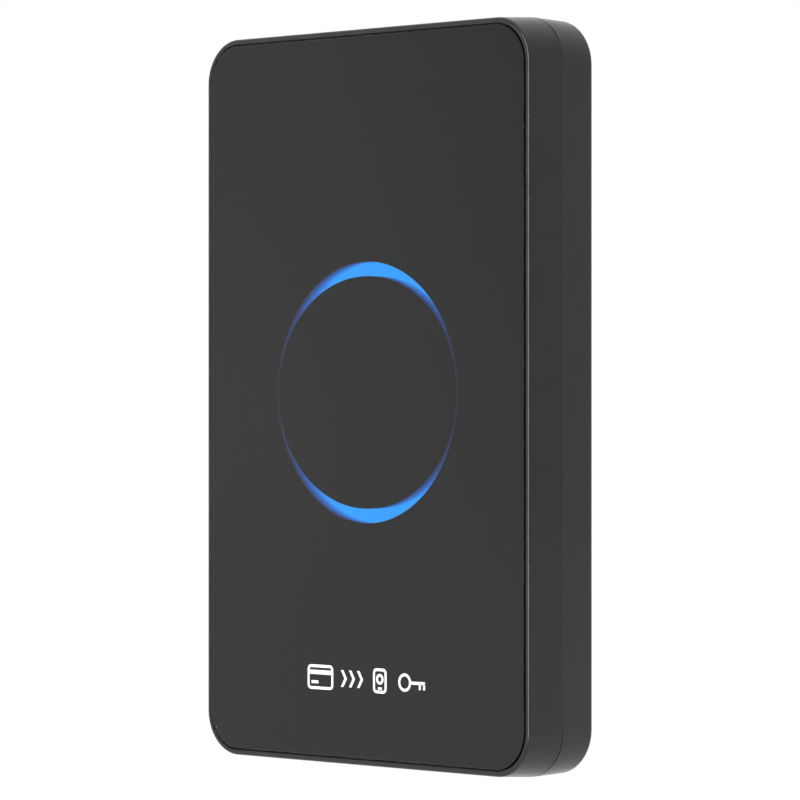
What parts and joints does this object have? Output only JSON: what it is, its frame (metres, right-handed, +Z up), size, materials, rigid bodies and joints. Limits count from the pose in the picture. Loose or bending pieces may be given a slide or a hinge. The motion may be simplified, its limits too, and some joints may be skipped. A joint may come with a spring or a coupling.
{
  "type": "rfid card reader",
  "caption": "Slim black desktop RFID card reader: rounded split casing, clear front panel over a black print, glowing blue ring window, USB-C inlet in its top edge.",
  "frame": {"origin": "middle of the bounding box, on the plane the reader stands on", "axes": "+Z up along the long side, towards the USB inlet; -Y out of the card face; +X to the right of someone facing the card face"},
  "size_m": [0.07, 0.014, 0.11],
  "materials": {
    "shell_black": "black ABS, fine satin texture",
    "panel_clear": "clear acrylic, polished",
    "film_black": "black printed film with white pictograms",
    "tape_grey": "double-sided tape",
    "foot_rubber": "soft black rubber",
    "label_silver": "blank satin polyester label",
    "guide_blue": "frosted light guide, lit blue from behind",
    "reflector_white": "white reflecting plastic",
    "led_blue": "clear resin over a blue light source",
    "board_green": "green solder mask on glass laminate",
    "wire_copper": "enamelled copper wire",
    "chip_black": "moulded epoxy",
    "ceramic_tan": "fired ceramic",
    "tantalum_yellow": "moulded resin",
    "ferrite_grey": "sintered ferrite",
    "screw_steel": "nickel-plated steel",
    "buzzer_black": "moulded black plastic"
  },
  "bodies": {
    "root": {"aerial_coil": "wire_copper", "board_screw_1": "screw_steel", "board_screw_2": "screw_steel", "bulk_capacitor": "tantalum_yellow", "buzzer": "buzzer_black", "case_screw_1": "screw_steel", "case_screw_2": "screw_steel", "case_screw_3": "screw_steel", "case_screw_4": "screw_steel", "choke_inductor": "ferrite_grey", "coil_lead_1": "wire_copper", "coil_lead_2": "wire_copper", "controller_chip": "chip_black", "controller_crystal": "screw_steel", "filter_capacitor_1": "ceramic_tan", "filter_capacitor_2": "ceramic_tan", "filter_capacitor_3": "ceramic_tan", "filter_capacitor_4": "ceramic_tan", "front_panel": "panel_clear", "front_shell": "shell_black", "led_driver": "chip_black", "led_resistor_1": "ferrite_grey", "led_resistor_2": "ferrite_grey", "led_resistor_3": "ferrite_grey", "led_resistor_4": "ferrite_grey", "led_resistor_5": "ferrite_grey", "led_resistor_6": "ferrite_grey", "light_guide": "guide_blue", "light_reflector": "reflector_white", "main_board": "board_green", "mask_film": "film_black", "panel_tape": "tape_grey", "reader_chip": "chip_black", "reader_crystal": "screw_steel", "rear_cover": "shell_black", "rear_label": "label_silver", "ring_led_1": "led_blue", "ring_led_2": "led_blue", "ring_led_3": "led_blue", "ring_led_4": "led_blue", "ring_led_5": "led_blue", "ring_led_6": "led_blue", "rubber_foot_1": "foot_rubber", "rubber_foot_2": "foot_rubber", "rubber_foot_3": "foot_rubber", "rubber_foot_4": "foot_rubber", "surge_protector": "chip_black", "tuning_capacitor_1": "ceramic_tan", "tuning_capacitor_2": "ceramic_tan", "usb_shell": "screw_steel", "usb_tongue": "chip_black", "voltage_regulator": "chip_black"}
  },
  "joints": []
}
